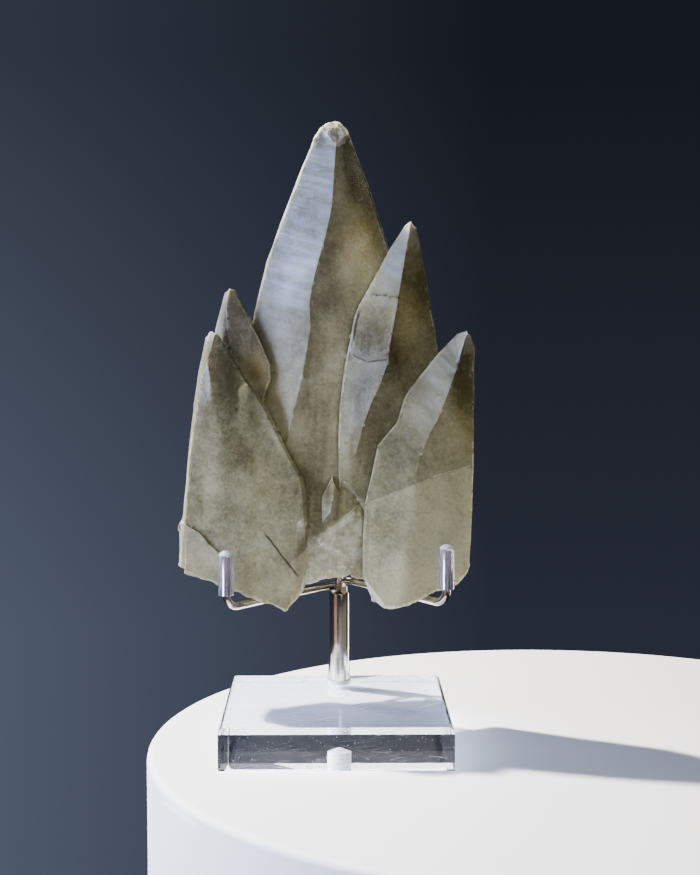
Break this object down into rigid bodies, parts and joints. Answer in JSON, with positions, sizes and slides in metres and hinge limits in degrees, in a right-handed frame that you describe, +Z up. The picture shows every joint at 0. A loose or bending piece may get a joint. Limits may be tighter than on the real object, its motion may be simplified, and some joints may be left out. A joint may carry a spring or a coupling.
{
  "type": "mineral specimen on display stand",
  "caption": "Olive-grey calcite crystal cluster, a fan of flattened dogtooth blades, held upright by a steel hook stand on a clear acrylic block.",
  "frame": {"origin": "centre of the acrylic base's underside", "axes": "+Z up, -Y towards the viewer who faces the crystals, +X to that viewer's right"},
  "size_m": [0.085, 0.0636, 0.1776],
  "materials": {
    "calcite": "translucent olive-grey crystal with satin faces",
    "acrylic": "clear polished cast acrylic",
    "steel": "bright nickel-plated steel",
    "vinyl": "clear soft vinyl with a violet tint"
  },
  "bodies": {
    "root": {"acrylic_base": "acrylic", "post": "steel", "left_arm": "steel", "right_arm": "steel", "back_rod": "steel", "left_tip": "vinyl", "right_tip": "vinyl", "back_tip": "vinyl", "calcite_cluster": "calcite"}
  },
  "joints": []
}
